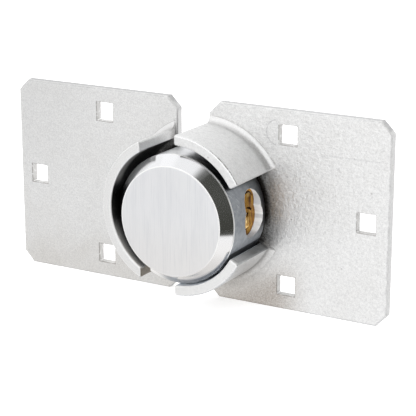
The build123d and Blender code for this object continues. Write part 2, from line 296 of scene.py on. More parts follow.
class LockColours(bpy.types.PropertyGroup):
    """Colours of the metals and the floor."""

    zinc_light: FloatVectorProperty(
        name="Zinc, left",
        description="Zinc plate of the left half",
        subtype="COLOR",
        default=(0.86, 0.86, 0.855),
    )
    zinc_bright: FloatVectorProperty(
        name="Zinc, right",
        description="Zinc plate of the right half",
        subtype="COLOR",
        default=(0.96, 0.96, 0.955),
    )
    # Also the colour of the painted shade low down on both halves' plates.
    zinc_warm: FloatVectorProperty(
        name="Zinc, dull",
        description="Zinc plate where it is dullest",
        subtype="COLOR",
        default=(0.74, 0.72, 0.69),
    )
    case_steel: FloatVectorProperty(
        name="Case steel",
        description="The round case",
        subtype="COLOR",
        default=(0.86, 0.865, 0.88),
    )
    brass: FloatVectorProperty(
        name="Brass",
        description="Key cylinder and its pins",
        subtype="COLOR",
        default=(0.62, 0.32, 0.04),
    )
    dark_steel: FloatVectorProperty(
        name="Dark steel",
        description="Hardened pinion and slide",
        subtype="COLOR",
        default=(0.36, 0.36, 0.37),
    )
    black_steel: FloatVectorProperty(
        name="Blackened steel",
        description="Screws",
        subtype="COLOR",
        default=(0.10, 0.10, 0.105),
    )
    ground_steel: FloatVectorProperty(
        name="Ground steel",
        description="Rear cover and slide guide",
        subtype="COLOR",
        default=(0.50, 0.51, 0.53),
    )
    pin_steel: FloatVectorProperty(
        name="Pin steel",
        description="The plated locking pin",
        subtype="COLOR",
        default=(0.72, 0.73, 0.75),
    )
    spring_steel: FloatVectorProperty(
        name="Spring steel",
        description="Pin springs and the plug's clip",
        subtype="COLOR",
        default=(0.62, 0.62, 0.64),
    )
    floor: FloatVectorProperty(
        name="Floor",
        description="The pale floor",
        subtype="COLOR",
        default=(0.80, 0.80, 0.80),
    )


class StudioSizes(bpy.types.PropertyGroup):
    """The camera, the lights and the floor."""

    lens: FloatProperty(
        name="Lens",
        description="Focal length on a 36 mm sensor, in mm",
        default=129.82,
    )
    yaw: FloatProperty(
        name="Yaw",
        description="Camera's turn to the left from straight on",
        subtype="ANGLE",
        default=math.radians(29.89),
    )
    pitch: FloatProperty(
        name="Pitch",
        description="Camera's tilt down",
        subtype="ANGLE",
        default=math.radians(16.09),
    )
    place: FloatVectorProperty(
        name="Camera's place",
        description="Where the camera stands",
        subtype="TRANSLATION",
        unit="LENGTH",
        default=(0.4161, -0.7120, 0.2303),
    )
    front_place: FloatVectorProperty(
        name="Front light's place",
        description="Where the large front light stands",
        subtype="TRANSLATION",
        unit="LENGTH",
        default=(-0.55, -1.25, 0.85),
    )
    front_power: FloatProperty(
        name="Front light",
        description="Power of the large front light",
        subtype="POWER",
        default=3.0,
    )
    top_place: FloatVectorProperty(
        name="Top light's place",
        description="Where the overhead light hangs",
        subtype="TRANSLATION",
        unit="LENGTH",
        default=(-0.1, 0.15, 1.3),
    )
    top_power: FloatProperty(
        name="Top light",
        description="Power of the overhead light",
        subtype="POWER",
        default=1.2,
    )
    softbox: FloatProperty(
        name="Softbox",
        description="Side of both square lights",
        subtype="DISTANCE",
        default=2.0,
    )
    room: FloatProperty(
        name="Room",
        description="Brightness of the room that the metal mirrors",
        default=1.05,
    )
    backdrop: FloatProperty(
        name="Backdrop",
        description="Brightness of the room behind the floor",
        default=1.6,
    )
    floor_reach: FloatProperty(
        name="Floor",
        description="From the middle of the floor to its edges",
        subtype="DISTANCE",
        default=14.0,
    )
    floor_glow: FloatProperty(
        name="Floor glow",
        description="Light that the floor adds to what falls on it",
        default=0.62,
    )


class Wire:
    """A shader socket whose value takes part in Python sums."""

    def __init__(self, recipe, socket):
        self.recipe = recipe
        self.socket = socket

    def sum(self, operation, *values):
        """A Math node on these wires and numbers."""
        inputs = dict(enumerate(values))
        return self.recipe.node("ShaderNodeMath", {"operation": operation}, inputs)

    def __add__(self, other):
        return self.sum("ADD", self, other)

    __radd__ = __add__

    def __sub__(self, other):
        return self.sum("SUBTRACT", self, other)

    def __rsub__(self, other):
        return self.sum("SUBTRACT", other, self)

    def __mul__(self, other):
        return self.sum("MULTIPLY", self, other)

    __rmul__ = __mul__

    def __pow__(self, other):
        return self.sum("POWER", self, other)

    def __abs__(self):
        return self.sum("ABSOLUTE", self)

    def least(self, other):
        """The smaller of the two."""
        return self.sum("MINIMUM", self, other)

    def most(self, other):
        """The larger of the two."""
        return self.sum("MAXIMUM", self, other)

    def ramp(self, low, high):
        """0 below low, 1 above high and smooth between; the other way round where low is above high."""
        inputs = {"Value": self, "From Min": low, "From Max": high}
        return self.recipe.node("ShaderNodeMapRange", {"interpolation_type": "SMOOTHSTEP"}, inputs)

    def near(self, value, outer, inner):
        """1 within inner of a value, 0 beyond outer and smooth between."""
        return abs(self - value).ramp(outer, inner)


class Recipe:
    """The node tree of a material or of the room's light."""

    def __init__(self, owner):
        self.owner = owner
        owner.use_nodes = True
        self.tree = owner.node_tree
        self.tree.nodes.clear()

    def node(self, kind, settings=None, inputs=None, output=0):
        """Adds a node with these settings, values and links; gives one output, or an end node itself."""
        made = self.tree.nodes.new(kind)
        for name, value in (settings or {}).items():
            setattr(made, name, value)
        for name, value in (inputs or {}).items():
            if isinstance(value, Wire):
                self.tree.links.new(value.socket, made.inputs[name])
            elif value is not None:
                made.inputs[name].default_value = value
        return Wire(self, made.outputs[output]) if made.outputs else made

    def split(self, vector):
        """The three numbers of a vector."""
        parts = self.node("ShaderNodeSeparateXYZ", inputs={"Vector": vector})
        return [Wire(self, socket) for socket in parts.socket.node.outputs]

    def place(self):
        """Object coordinates in millimetres."""
        if not hasattr(self, "spot"):
            where = self.node("ShaderNodeTexCoord", output="Object")
            scale = {"Vector": where, "Scale": 1 / MM}
            self.spot = self.node("ShaderNodeVectorMath", {"operation": "SCALE"}, scale)
        return self.spot

    def axes(self):
        """X, Y and Z in millimetres."""
        if not hasattr(self, "xyz"):
            self.xyz = self.split(self.place())
        return self.xyz

    def join(self, x, y, z):
        """A vector from three numbers or wires."""
        return self.node("ShaderNodeCombineXYZ", inputs={"X": x, "Y": y, "Z": z})

    def mapped(self, size, stretch=(1, 1, 1), at=None, shift=0.0):
        """Places scaled so that a pattern's features have that size in millimetres."""
        inputs = {
            "Vector": at or self.place(),
            "Scale": tuple(1 / (size * share) for share in stretch),
            "Location": (shift, shift, shift),
        }
        return self.node("ShaderNodeMapping", inputs=inputs)

    def noise(self, size, detail=2.0, rough=0.5, stretch=(1, 1, 1), at=None, shift=0.0):
        """Soft noise from 0 to 1 with features of that size in millimetres."""
        vector = self.mapped(size, stretch, at, shift)
        inputs = {"Vector": vector, "Scale": 1.0, "Detail": detail, "Roughness": rough}
        return self.node("ShaderNodeTexNoise", {"normalize": True}, inputs)

    def cells(self, size):
        """Distance from the middle of scattered cells of that size in millimetres."""
        inputs = {"Vector": self.mapped(size), "Scale": 1.0}
        return self.node("ShaderNodeTexVoronoi", {"feature": "F1"}, inputs)

    def length(self, a, b):
        """Length of the side opposite a right angle."""
        return (a * a + b * b) ** 0.5

    def mix(self, share, a, b, blend="MIX"):
        """One colour into another."""
        inputs = {0: share, 6: self.colour(a), 7: self.colour(b)}
        settings = {"data_type": "RGBA", "blend_type": blend}
        return self.node("ShaderNodeMix", settings, inputs, output=2)

    def tint(self, share, a, b):
        """A colour times another, by a share."""
        return self.mix(share, a, b, "MULTIPLY")

    def colour(self, value):
        """A colour as a Mix or shader socket takes it."""
        return value if isinstance(value, Wire) else (*value[:3], 1.0)

    def grey(self, level):
        """A number as a grey."""
        return self.node("ShaderNodeCombineColor", inputs={"Red": level, "Green": level, "Blue": level})

    def bump(self, height, depth, normal=None):
        """A normal from a height, of which 1 stands for that depth in millimetres."""
        inputs = {"Height": height, "Distance": depth * MM, "Strength": 1.0, "Normal": normal}
        return self.node("ShaderNodeBump", inputs=inputs)

    def metal(self, colour, roughness, normal, metallic=1.0):
        """The surface; where metallic is below 1, part of it scatters light as dull plating does."""
        inputs = {
            "Base Color": self.colour(colour),
            "Metallic": metallic,
            "Roughness": roughness,
            "Normal": normal,
        }
        surface = self.node("ShaderNodeBsdfPrincipled", inputs=inputs)
        self.node("ShaderNodeOutputMaterial", inputs={"Surface": surface})
        return self.owner


def new_finish(name):
    """An empty material to write a recipe in."""
    return Recipe(bpy.data.materials.new(name))


def edge_distance(r, side):
    """Distance from the nearest edge of a half's plate, towards its middle."""
    x, y, z = r.axes()
    sizes = bpy.context.scene.hasp_sizes
    x = x * side
    up = abs(z)
    clip = (outer_x - x + half_h - up - sizes.corner_clip) * math.sqrt(0.5)
    clip_in = (x - sizes.inner_edge + half_h - up - sizes.corner_clip) * math.sqrt(0.5)
    return (outer_x - x).least(half_h - up).least(clip).least(clip_in)


def hole_distance(r, side):
    """Distance outside the nearest square hole's sides; below zero inside."""
    x, y, z = r.axes()
    sizes = bpy.context.scene.hasp_sizes
    outer = abs(x * side - sizes.outer_hole).most(abs(z)) - sizes.hole_half
    inner = abs(x * side - sizes.inner_hole).most(abs(abs(z) - sizes.hole_rise)) - sizes.hole_half
    return outer.least(inner)


def past_low_end(x, z, centre_x):
    """Distance above the plane of the right half's lower arc's end."""
    end_angle = math.radians(bpy.context.scene.hasp_sizes.low_end)
    return (x - centre_x) * math.sin(end_angle) + z * math.cos(end_angle)


class HaspPlaces:
    """Places on a hasp half, as masks from 0 to 1 and distances in mm, and its skin's patterns."""

    def __init__(self, r, left):
        sizes = bpy.context.scene.hasp_sizes
        side = -1 if left else 1
        self.r = r
        self.left = left
        self.sizes = sizes
        self.face = -sizes.plate_t
        self.coarse = 1.0 if left else sizes.right_coarser
        self.in_r = sizes.wall_in_r - (sizes.left_tighter if left else 0.0)
        self.out_r = self.in_r + sizes.wall_t
        self.root_r = self.out_r + sizes.root_r
        centre_x = case_x - (sizes.left_shift if left else 0.0)
        x, y, z = r.axes()
        self.off_axis = r.length(x - centre_x, z)
        self.from_case = r.length(x - case_x, z - case_z) - case_r
        self.edge = edge_distance(r, side)
        self.hole = hole_distance(r, side)
        self.on_wall = y.ramp(self.face - 1.5, self.face - 4.0)
        self.on_front = y.ramp(wall_front + 0.7, wall_front + 0.15)
        self.outer_rim = (
            self.off_axis.ramp(self.out_r - 1.4, self.out_r - 0.8)
            * y.ramp(wall_front + 1.6, wall_front + 0.8)
        )
        self.inside_wall = self.off_axis.ramp(self.in_r + 0.7, self.in_r + 0.2)
        # Where the walls' root gets its painted highlight and painted shade line: in front of the plate, on
        # the right half only high up and by the lower arc's end.
        self.lit_root = y.ramp(self.face - 0.05, self.face - 0.2)
        if not left:
            self.past_end = past_low_end(x, z, centre_x)
            near_end = self.past_end.ramp(-5.0, -1.5) * self.past_end.ramp(1.0, 0.5)
            self.lit_root = self.lit_root * z.ramp(-12.0, 4.0).most(near_end)
        self.in_hole = self.hole.ramp(0.05, -0.05) * y.ramp(self.face + 0.4, self.face + 0.9)
        self.round_lock = (
            y.ramp(self.face - 7.2, self.face - 3.2)
            * y.ramp(self.face + 0.8, self.face + 0.2)
            * self.from_case.ramp(-7.0, -2.5)
        )
        self.broad = r.noise(26.0, 2.0)
        self.blotch = r.noise(6.0, 3.0, 0.6)
        self.skin = r.noise(sizes.grain * self.coarse, 4.0, 0.62)
        self.fine = r.noise(sizes.fine_grain, 2.0, 0.6)
        self.hide = r.noise(sizes.grain * 1.5 * self.coarse, 3.0, 0.65, stretch=(1.5, 1, 1), shift=13.0)
        pitted = r.noise(9.0, 2.0, shift=7.0).ramp(0.6, 0.7)
        self.pit = r.cells(2.6 * self.coarse).ramp(0.2, 0.05) * pitted
        specked = r.noise(3.0, 1.0, shift=3.0).ramp(0.62, 0.72)
        self.speck = r.cells(1.1).ramp(0.16, 0.04) * specked


def forged_zinc(name, left):
    """Zinc plate over a forged skin, with its edges, holes and walls, painted highlights on edges and the
    walls' root, and painted shade round the lock and inside the walls.
    """
    r = new_finish(name)
    half = HaspPlaces(r, left)
    x, y, z = r.axes()
    shade = zinc_skin(half)
    shade = zinc_edges(half, shade)
    shade = zinc_dark_marks(half, shade)
    shade = shade_round_lock(half, shade)
    hole_wall = (0.85, 0.85, 0.84) if left else (0.66, 0.66, 0.655)
    shade = r.mix(half.in_hole, shade, hole_wall)
    shade, inside = left_wall(half, shade) if left else right_arcs(half, shade)
    # Painted light and shade inside the walls, behind their front.
    behind_front = y.ramp(wall_front + 0.2, wall_front + 1.1)
    shade = r.mix(half.inside_wall * behind_front * half.on_wall, shade, inside)
    soft_edge = half.edge.ramp(1.6, 0.8)
    rough = 0.46 + soft_edge * 0.25 - half.outer_rim * 0.16 + (half.skin - 0.5) * 0.18
    rough = rough + half.pit * 0.15 - half.on_front * 0.06
    scattering = abs(z).ramp(6.0, 16.0) * 0.5 if left else z.ramp(-6.0, -14.0) * 0.85
    scattering = half.inside_wall * half.on_wall * scattering
    metallic = 1.0 - (soft_edge * 0.1 + half.in_hole * 0.85 + scattering)
    return r.metal(shade, rough.most(0.2), zinc_relief(half), metallic)


def zinc_skin(half):
    """The plating's colour: warm and cool clouds, grain and the die's marks, with painted shade low down
    and in the skin's hollows, painted highlights on the right half's swells, and the left half darker at
    its upper outer corner.
    """
    r = half.r
    colours = bpy.context.scene.lock_colours
    x, y, z = r.axes()
    # Painted shade: darker and warmer low down, mixed with the random dull clouds.
    low = z.ramp(-10.0, -60.0) if half.left else x.ramp(70.0, 20.0) * z.ramp(-20.0, -50.0)
    dullness_and_low_shade = low * 0.7 + (half.broad - 0.5) * 0.8 + (half.blotch - 0.5) * 0.35
    bright = colours.zinc_light if half.left else colours.zinc_bright
    shade = r.mix(dullness_and_low_shade.ramp(-0.1, 1.1), bright, colours.zinc_warm)
    if half.left:
        upper_corner = r.length(x + outer_x, z - half_h).ramp(75.0, 20.0)
        shade = r.tint(upper_corner * 0.09, shade, (0.4, 0.4, 0.4))
    grain = (half.skin - 0.5) * 0.8 + (half.fine - 0.5) * 1.1 + 0.5
    shade = r.tint(grain.ramp(0.8, 0.2) * 0.34, shade, (0.45, 0.45, 0.46))
    if not half.left:
        # Painted highlights on the right half's swells.
        shade = r.mix(half.hide.ramp(0.58, 0.72) * 0.4, shade, (1.0, 1.0, 1.0))
        shade = r.tint(die_marks(half) * 0.4, shade, (0.45, 0.45, 0.47))
    # Painted shade in the skin's hollows.
    dull = 0.1 if half.left else 0.2
    return r.tint(half.hide.ramp(0.44, 0.28) * dull, shade, (0.55, 0.55, 0.57))


def die_marks(half):
    """The faint outline by the right half's upper hole, and the die's line to the right of it."""
    sizes = half.sizes
    x, y, z = half.r.axes()
    from_middle = half.r.length(x - sizes.pad_x, z - sizes.pad_z)
    pad = from_middle.near(sizes.pad_r, 0.5, 0.15) * x.ramp(sizes.pad_x - 0.5, sizes.pad_x - 2.0)
    line = z.near(sizes.die_line_z, 0.5, 0.1) * 0.5
    line = line * x.ramp(sizes.die_line_x - 4.0, sizes.die_line_x + 4.0)
    on_face = y.ramp(half.face - 1.0, half.face - 0.3) * y.ramp(half.face + 0.8, half.face + 0.2)
    return (pad + line) * on_face * half.hide.ramp(0.35, 0.5)


def zinc_edges(half, shade):
    """Painted highlights along the plate's edges and the walls' rim and root, painted shade on the plate's
    side faces, dark lines along the rounded edges, and the walls' paler front, on the right half paler low
    down as painted light.
    """
    r = half.r
    x, y, z = r.axes()
    edge_highlight = half.edge.ramp(1.7, 0.5) * r.noise(3.0, 2.0, shift=11.0).ramp(0.2, 0.6)
    root = (
        half.off_axis.ramp(half.root_r + 0.1, half.root_r - 0.5)
        * half.off_axis.ramp(half.out_r, half.out_r + 0.6)
        * y.ramp(half.face - 5.0, half.face - 2.0)
        * half.lit_root
    )
    # Painted highlights along the edges, the walls' outer rim and their root fillet.
    lit = edge_highlight * 0.2 + half.outer_rim * (0.15 if half.left else 0.7) + root * 0.5
    shade = r.mix(lit, shade, (0.95, 0.95, 0.95))
    # Painted shade on the plate's side faces, less at the left half's edge by the door gap and at the right
    # half's outer edge.
    side_shade = half.edge.ramp(0.5, 0.2) * y.ramp(half.face + 0.3, half.face + 1.3)
    rim_line = half.edge.near(0.7, 0.5, 0.15) * y.ramp(half.face + 0.6, half.face + 0.2)
    rim_line = rim_line * r.noise(3.0, 2.0, shift=4.0).ramp(0.3, 0.55)
    if half.left:
        gap_edge = -half.sizes.inner_edge
        by_gap = x.ramp(gap_edge - 4.8, gap_edge - 1.3)
        side_shade = side_shade * (1.0 - by_gap * 0.8)
        rim_line = rim_line * (1.0 - by_gap * 0.75)
    else:
        side_shade = side_shade * (1.0 - x.ramp(outer_x - 1.6, outer_x - 1.0) * 0.8)
    shade = r.tint(side_shade * 0.55 + rim_line * 0.35, shade, (0.55, 0.55, 0.56))
    # The walls' front is paler; on the right half it is paler low down, painted light.
    if half.left:
        return r.mix(half.on_front * 0.35, shade, (0.90, 0.90, 0.895))
    return r.mix(half.on_front * (z.ramp(30.0, 0.0) * 0.38 + 0.35), shade, (0.98, 0.98, 0.975))


def zinc_dark_marks(half, shade):
    """Dark specks and pits, dark lines round the holes, and a painted shade line along the step at the
    walls' root.
    """
    r = half.r
    # Painted shade line along the step at the walls' root.
    step = half.off_axis.near(half.root_r, 0.35, 0.1) * half.lit_root
    step = step * r.noise(2.0, 2.0, shift=6.0).ramp(0.3, 0.5)
    hole_line = half.hole.ramp(-0.35, -0.1) * half.hole.ramp(0.4, 0.15)
    hole_line = hole_line * r.noise(2.4, 2.0, shift=5.0).ramp(0.3, 0.5)
    dark_marks = hole_line * 0.6 + half.speck * 0.5 + half.pit * 0.3 + step * 0.45
    return r.tint(dark_marks, shade, (0.30, 0.28, 0.26))


def shade_round_lock(half, shade):
    """Painted shade on the plate round the lock, dark and grainy, deepest where the case stands on it, and
    on the right half under the lower arc.
    """
    r = half.r
    x, y, z = r.axes()
    # Painted shade spreading from the case.
    grain = r.noise(0.9, 2.0, 0.7, shift=1.0).ramp(0.25, 0.75) * 0.5 + 0.57
    wide = (half.from_case.ramp(16.0, -1.0) * grain * half.round_lock).least(1.0)
    shade = r.tint(wide, shade, (0.17, 0.16, 0.145))
    if not half.left:
        # Painted shade under the right half's lower arc.
        under_arc = z.ramp(-20.0, -47.0) * x.ramp(78.0, 50.0) * half.round_lock
        under_arc = under_arc * y.ramp(half.face - 3.0, half.face - 0.6)
        under_arc = under_arc * (half.from_case.ramp(9.0, 26.0) * 0.6 + 0.4)
        patchy = r.noise(0.8, 2.0, 0.7, shift=17.0).ramp(0.3, 0.7) * 0.6 + 0.5
        shade = r.tint(under_arc * patchy, shade, (0.56, 0.51, 0.465))
    # Painted shadow close round the case, lighter low down.
    close = half.from_case.ramp(4.0, 0.7) * (z.ramp(-15.0, -3.0) * 0.75 + 0.25)
    return r.tint(close * half.round_lock, shade, (0.12, 0.11, 0.10))


def left_wall(half, shade):
    """The left wall's outline and darker lower end, and the painted shade inside it."""
    r = half.r
    x, y, z = r.axes()
    outline = half.off_axis.near(half.out_r, 0.5, 0.2) * y.ramp(wall_front + 2.2, wall_front + 1.2)
    outline = outline * y.ramp(wall_front + 0.3, wall_front + 0.6)
    outline = outline * r.noise(2.5, 2.0, shift=2.0).ramp(0.3, 0.6)
    shade = r.tint(outline * 0.45, shade, (0.3, 0.3, 0.3))
    # Painted shade inside the wall: near black, greyer near the front low down and paler near the front
    # high up.
    low_front = y.ramp(wall_front + 9.0, wall_front + 1.0) * z.ramp(10.0, -24.0)
    high_front = y.ramp(wall_front + 9.0, wall_front + 5.0) * z.ramp(10.0, 18.0)
    inside = r.mix(low_front, (0.05, 0.05, 0.052), (0.50, 0.49, 0.475))
    inside = r.mix(high_front * 0.4, inside, (0.80, 0.80, 0.79))
    gap_edge = -half.sizes.inner_edge
    low_end = x.ramp(gap_edge - 1.9, gap_edge - 1.6) * half.on_wall * z.ramp(0.0, -10.0)
    shade = r.tint(low_end, shade, (0.39, 0.355, 0.31))
    return shade, inside


def right_arcs(half, shade):
    """Painted shade on both arcs and on the lower arc's end face, deeper towards the back, and the painted
    light and shade inside the arcs.
    """
    r = half.r
    x, y, z = r.axes()
    # Painted light and shade inside the arcs: near black in the upper arc; in the lower arc blue-grey near
    # the front and paler deeper in.
    near_front = r.mix(x.ramp(26.0, 18.0), (0.33, 0.37, 0.42), (0.60, 0.62, 0.65))
    lit_inside = r.mix(y.ramp(wall_front + 0.8, wall_front + 3.2), near_front, (0.90, 0.95, 1.0))
    inside = r.mix(z.ramp(10.0, -10.0), (0.06, 0.06, 0.062), lit_inside)
    # Painted shade on the lower arc's end face, deeper towards the back.
    low_end = half.past_end.near(0.0, 0.7, 0.35) * half.on_wall * y.ramp(wall_front + 1.0, wall_front + 2.2)
    low_end = low_end * (y.ramp(wall_front + 3.0, wall_front + 24.0) * 0.5 + 0.4)
    shade = r.tint(half.on_wall * 0.17 + low_end, shade, (0.42, 0.43, 0.44))
    return shade, inside


def zinc_relief(half):
    """The forged skin's swells, lumps and pits, and its fine grain."""
    r = half.r
    lump_size = 2.2 if half.left else 2.8
    fine_depth = 0.04 if half.left else 0.055
    lumps = r.noise(lump_size, 2.0, 0.5, shift=8.0)
    swells = half.broad * 3.2 + half.blotch * 1.1 + half.skin * 2.2 + half.hide * 3.0
    relief = swells + lumps * 2.6 - half.pit * 1.2 - half.speck * 0.4
    normal = r.bump(relief, half.sizes.pits * half.coarse)
    return r.bump(half.fine, fine_depth * half.coarse, normal)


class CasePlaces:
    """The faces of the lock's round case, as masks from 0 to 1."""

    def __init__(self, r):
        sizes = bpy.context.scene.case_sizes
        x, y, z = r.axes()
        self.r = r
        self.sizes = sizes
        self.off_axis = r.length(x - case_x, z - case_z)
        self.bevel_back = case_front + sizes.bevel_depth
        self.face = y.ramp(case_front + 0.2, case_front + 0.05)
        self.bevel = y.ramp(self.bevel_back + 0.1, self.bevel_back - 0.1) * (1.0 - self.face)
        low = r.length(y - plug_y, z - plug_z) - sizes.low_lobe_r
        high = r.length(y - plug_y, z - plug_z - sizes.lobe_rise) - sizes.high_lobe_r
        in_front_of_shell = x.ramp(shell_low.x / MM - 4.0, shell_low.x / MM)
        self.pocket = low.least(high).ramp(0.12, 0.02) * in_front_of_shell
        self.side = (1.0 - self.face) * (1.0 - self.bevel) * (1.0 - self.pocket)


def case_finish(name):
    """The lock's round case: brushed face, polished bevel, satin side and turned key pocket, with painted
    highlights, reflections and shade.
    """
    r = new_finish(name)
    case = CasePlaces(r)
    x, y, z = r.axes()
    brush = r.noise(case.sizes.brush_line, 3.0, 0.7, stretch=(1, 1, 45))
    shade = brushed_face(case, brush)
    shade = side_tone_and_shade(case, shade)
    shade = turned_pocket(case, shade)
    shade = bevel_reflections(case, shade)
    # Painted highlights: a thin line round the face's edge and along the bevel's back edge.
    edge_highlight = case.off_axis.near(case.sizes.face_r, 0.36, 0.14)
    edge_highlight = edge_highlight * y.ramp(case_front + 1.0, case_front + 0.5) * z.ramp(-26.0, -10.0)
    back_edge = y.near(case.bevel_back, 0.5, 0.25) * (1.0 - case.pocket)
    edge_highlight = edge_highlight + back_edge * z.ramp(-22.0, -18.0) * x.ramp(4.0, 12.0)
    shade = r.mix(edge_highlight, shade, (0.98, 0.98, 0.97))
    scuff = r.noise(0.5, 2.0, 0.5, stretch=(1, 14, 1), shift=2.0).ramp(0.70, 0.76)
    scuff = scuff * r.noise(14.0, 1.0).ramp(0.5, 0.62)
    slanted = r.join(y + z, (y - z) * 0.06, 0.0)
    scratch = r.noise(0.7, 2.0, 0.6, at=slanted).ramp(0.60, 0.66)
    scratch = scratch * y.ramp(-30.0, -36.0) * z.ramp(2.0, 9.0) * 0.6
    shade = r.mix((scuff * 0.5 + scratch) * case.side, shade, (0.95, 0.95, 0.95))
    rough = case.face * 0.30 + case.bevel * 0.12 + case.side * 0.30 + case.pocket * 0.6
    rough = rough + (brush - 0.5) * case.face * 0.12 + edge_highlight * 0.5
    rough = rough + (scuff * 0.3 + scratch) * case.side * 0.5
    lathe = r.noise(0.25, 2.0, 0.7, at=r.join(y, case.off_axis, 0.0))
    height = brush * case.face * 1.6 + lathe * (case.side + case.bevel * 0.12) * 0.6
    normal = r.bump(height, 0.012)
    groove = r.node("ShaderNodeMath", {"operation": "PINGPONG"}, {0: x, 1: 0.25}) * 4.0
    normal = r.bump(groove * case.pocket, 0.12, normal)
    low_side = case.side * z.ramp(-7.0, -14.0)
    metallic = 1.0 - (case.pocket * 0.92 + low_side * 0.5)
    return r.metal(shade, rough.most(0.05), normal, metallic)


def brushed_face(case, brush):
    """Brush lines on the face, and both face and bevel a little warmer low down, a painted warm reflection.
    """
    r = case.r
    x, y, z = r.axes()
    wide = r.noise(case.sizes.brush_line * 6, 3.0, 0.6, stretch=(1, 1, 6), shift=4.0)
    streak = brush.ramp(0.5, 0.72) * 0.24 + wide.ramp(0.4, 0.75) * 0.13
    steel = bpy.context.scene.lock_colours.case_steel
    shade = r.tint(case.face * streak, steel, (0.62, 0.64, 0.68))
    # Painted warm reflection low down on the face and bevel.
    warm = (case.face * 0.45 + case.bevel * 0.8) * z.ramp(8.0, -34.0)
    return r.tint(warm, shade, (0.95, 0.91, 0.86))


def side_tone_and_shade(case, shade):
    """The side darker and blue-grey in clouds, partly tone and partly painted shade: less near the top,
    more towards the plate, in a band at mid height and beside the lower arc's end.
    """
    r = case.r
    x, y, z = r.axes()
    # The side darker and blue-grey, partly its tone and partly painted shade, with less of it near the top.
    free_of_top = 1.0 - z.ramp(24.0, 33.0) * 0.75
    cloud = r.noise(3.2, 3.0, 0.7, shift=5.0).ramp(0.35, 0.7) * 0.2 + 0.8
    shade = r.tint(case.side * free_of_top * cloud, shade, (0.33, 0.355, 0.385))
    # Painted shade towards the plate.
    by_plate = y.ramp(-30.0, -10.0) * (z.ramp(-16.0, 14.0) * 0.45)
    shade = r.tint(case.side * by_plate, shade, (0.5, 0.51, 0.49))
    # Painted shade in a band at mid height.
    middle = z.ramp(-10.0, 4.0) * z.ramp(24.0, 14.0) * 0.14
    shade = r.tint(case.side * middle, shade, (0.1, 0.1, 0.1))
    # Painted shade beside the lower arc's end.
    by_arc = (past_low_end(x, z, case_x) - (y + 42.0) * 0.03).ramp(0.3, -0.3)
    return r.tint(case.side * by_arc * x.ramp(36.0, 39.0) * 0.9, shade, (0.1, 0.1, 0.105))


def turned_pocket(case, shade):
    """The key pocket's bright wall, with painted reflections of soft grey bands and streaks."""
    r = case.r
    x, y, z = r.axes()
    shade = r.mix(case.pocket, shade, (0.97, 0.985, 1.0))
    # Painted reflections: grey bands at set heights and streaks along the pocket.
    high = z.ramp(2.6, 4.4) * z.ramp(11.5, 9.0) * 0.5
    low = z.near(-3.6, 1.8, 0.6) * 0.5 + z.ramp(-10.2, -12.4) * 0.8
    reflected_streaks = r.noise(2.6, 2.0, 0.5, stretch=(5, 1, 1), shift=6.0).ramp(0.5, 0.75) * 0.25
    return r.tint(case.pocket * (high + low + reflected_streaks).least(1.0), shade, (0.42, 0.43, 0.45))


def bevel_reflections(case, shade):
    """Painted reflections on the lower bevel: a blue-grey band along the arc, and shade at the bottom."""
    r = case.r
    x, y, z = r.axes()
    # Painted reflection of the arc's inside: a blue-grey band.
    band = (case.off_axis - case.sizes.face_r - 4.3 - (z + 22.0) * 0.2).ramp(-0.4, 0.4)
    band = band * case.bevel * x.ramp(9.0, 12.0) * z.ramp(-19.5, -21.0)
    shade = r.tint(band * 0.4, shade, (0.34, 0.38, 0.44))
    # Painted shade at the bevel's bottom.
    bottom = case.bevel * z.ramp(-28.0, -35.0) * x.ramp(12.0, 9.0)
    return r.tint(bottom * 0.5, shade, (0.62, 0.61, 0.60))


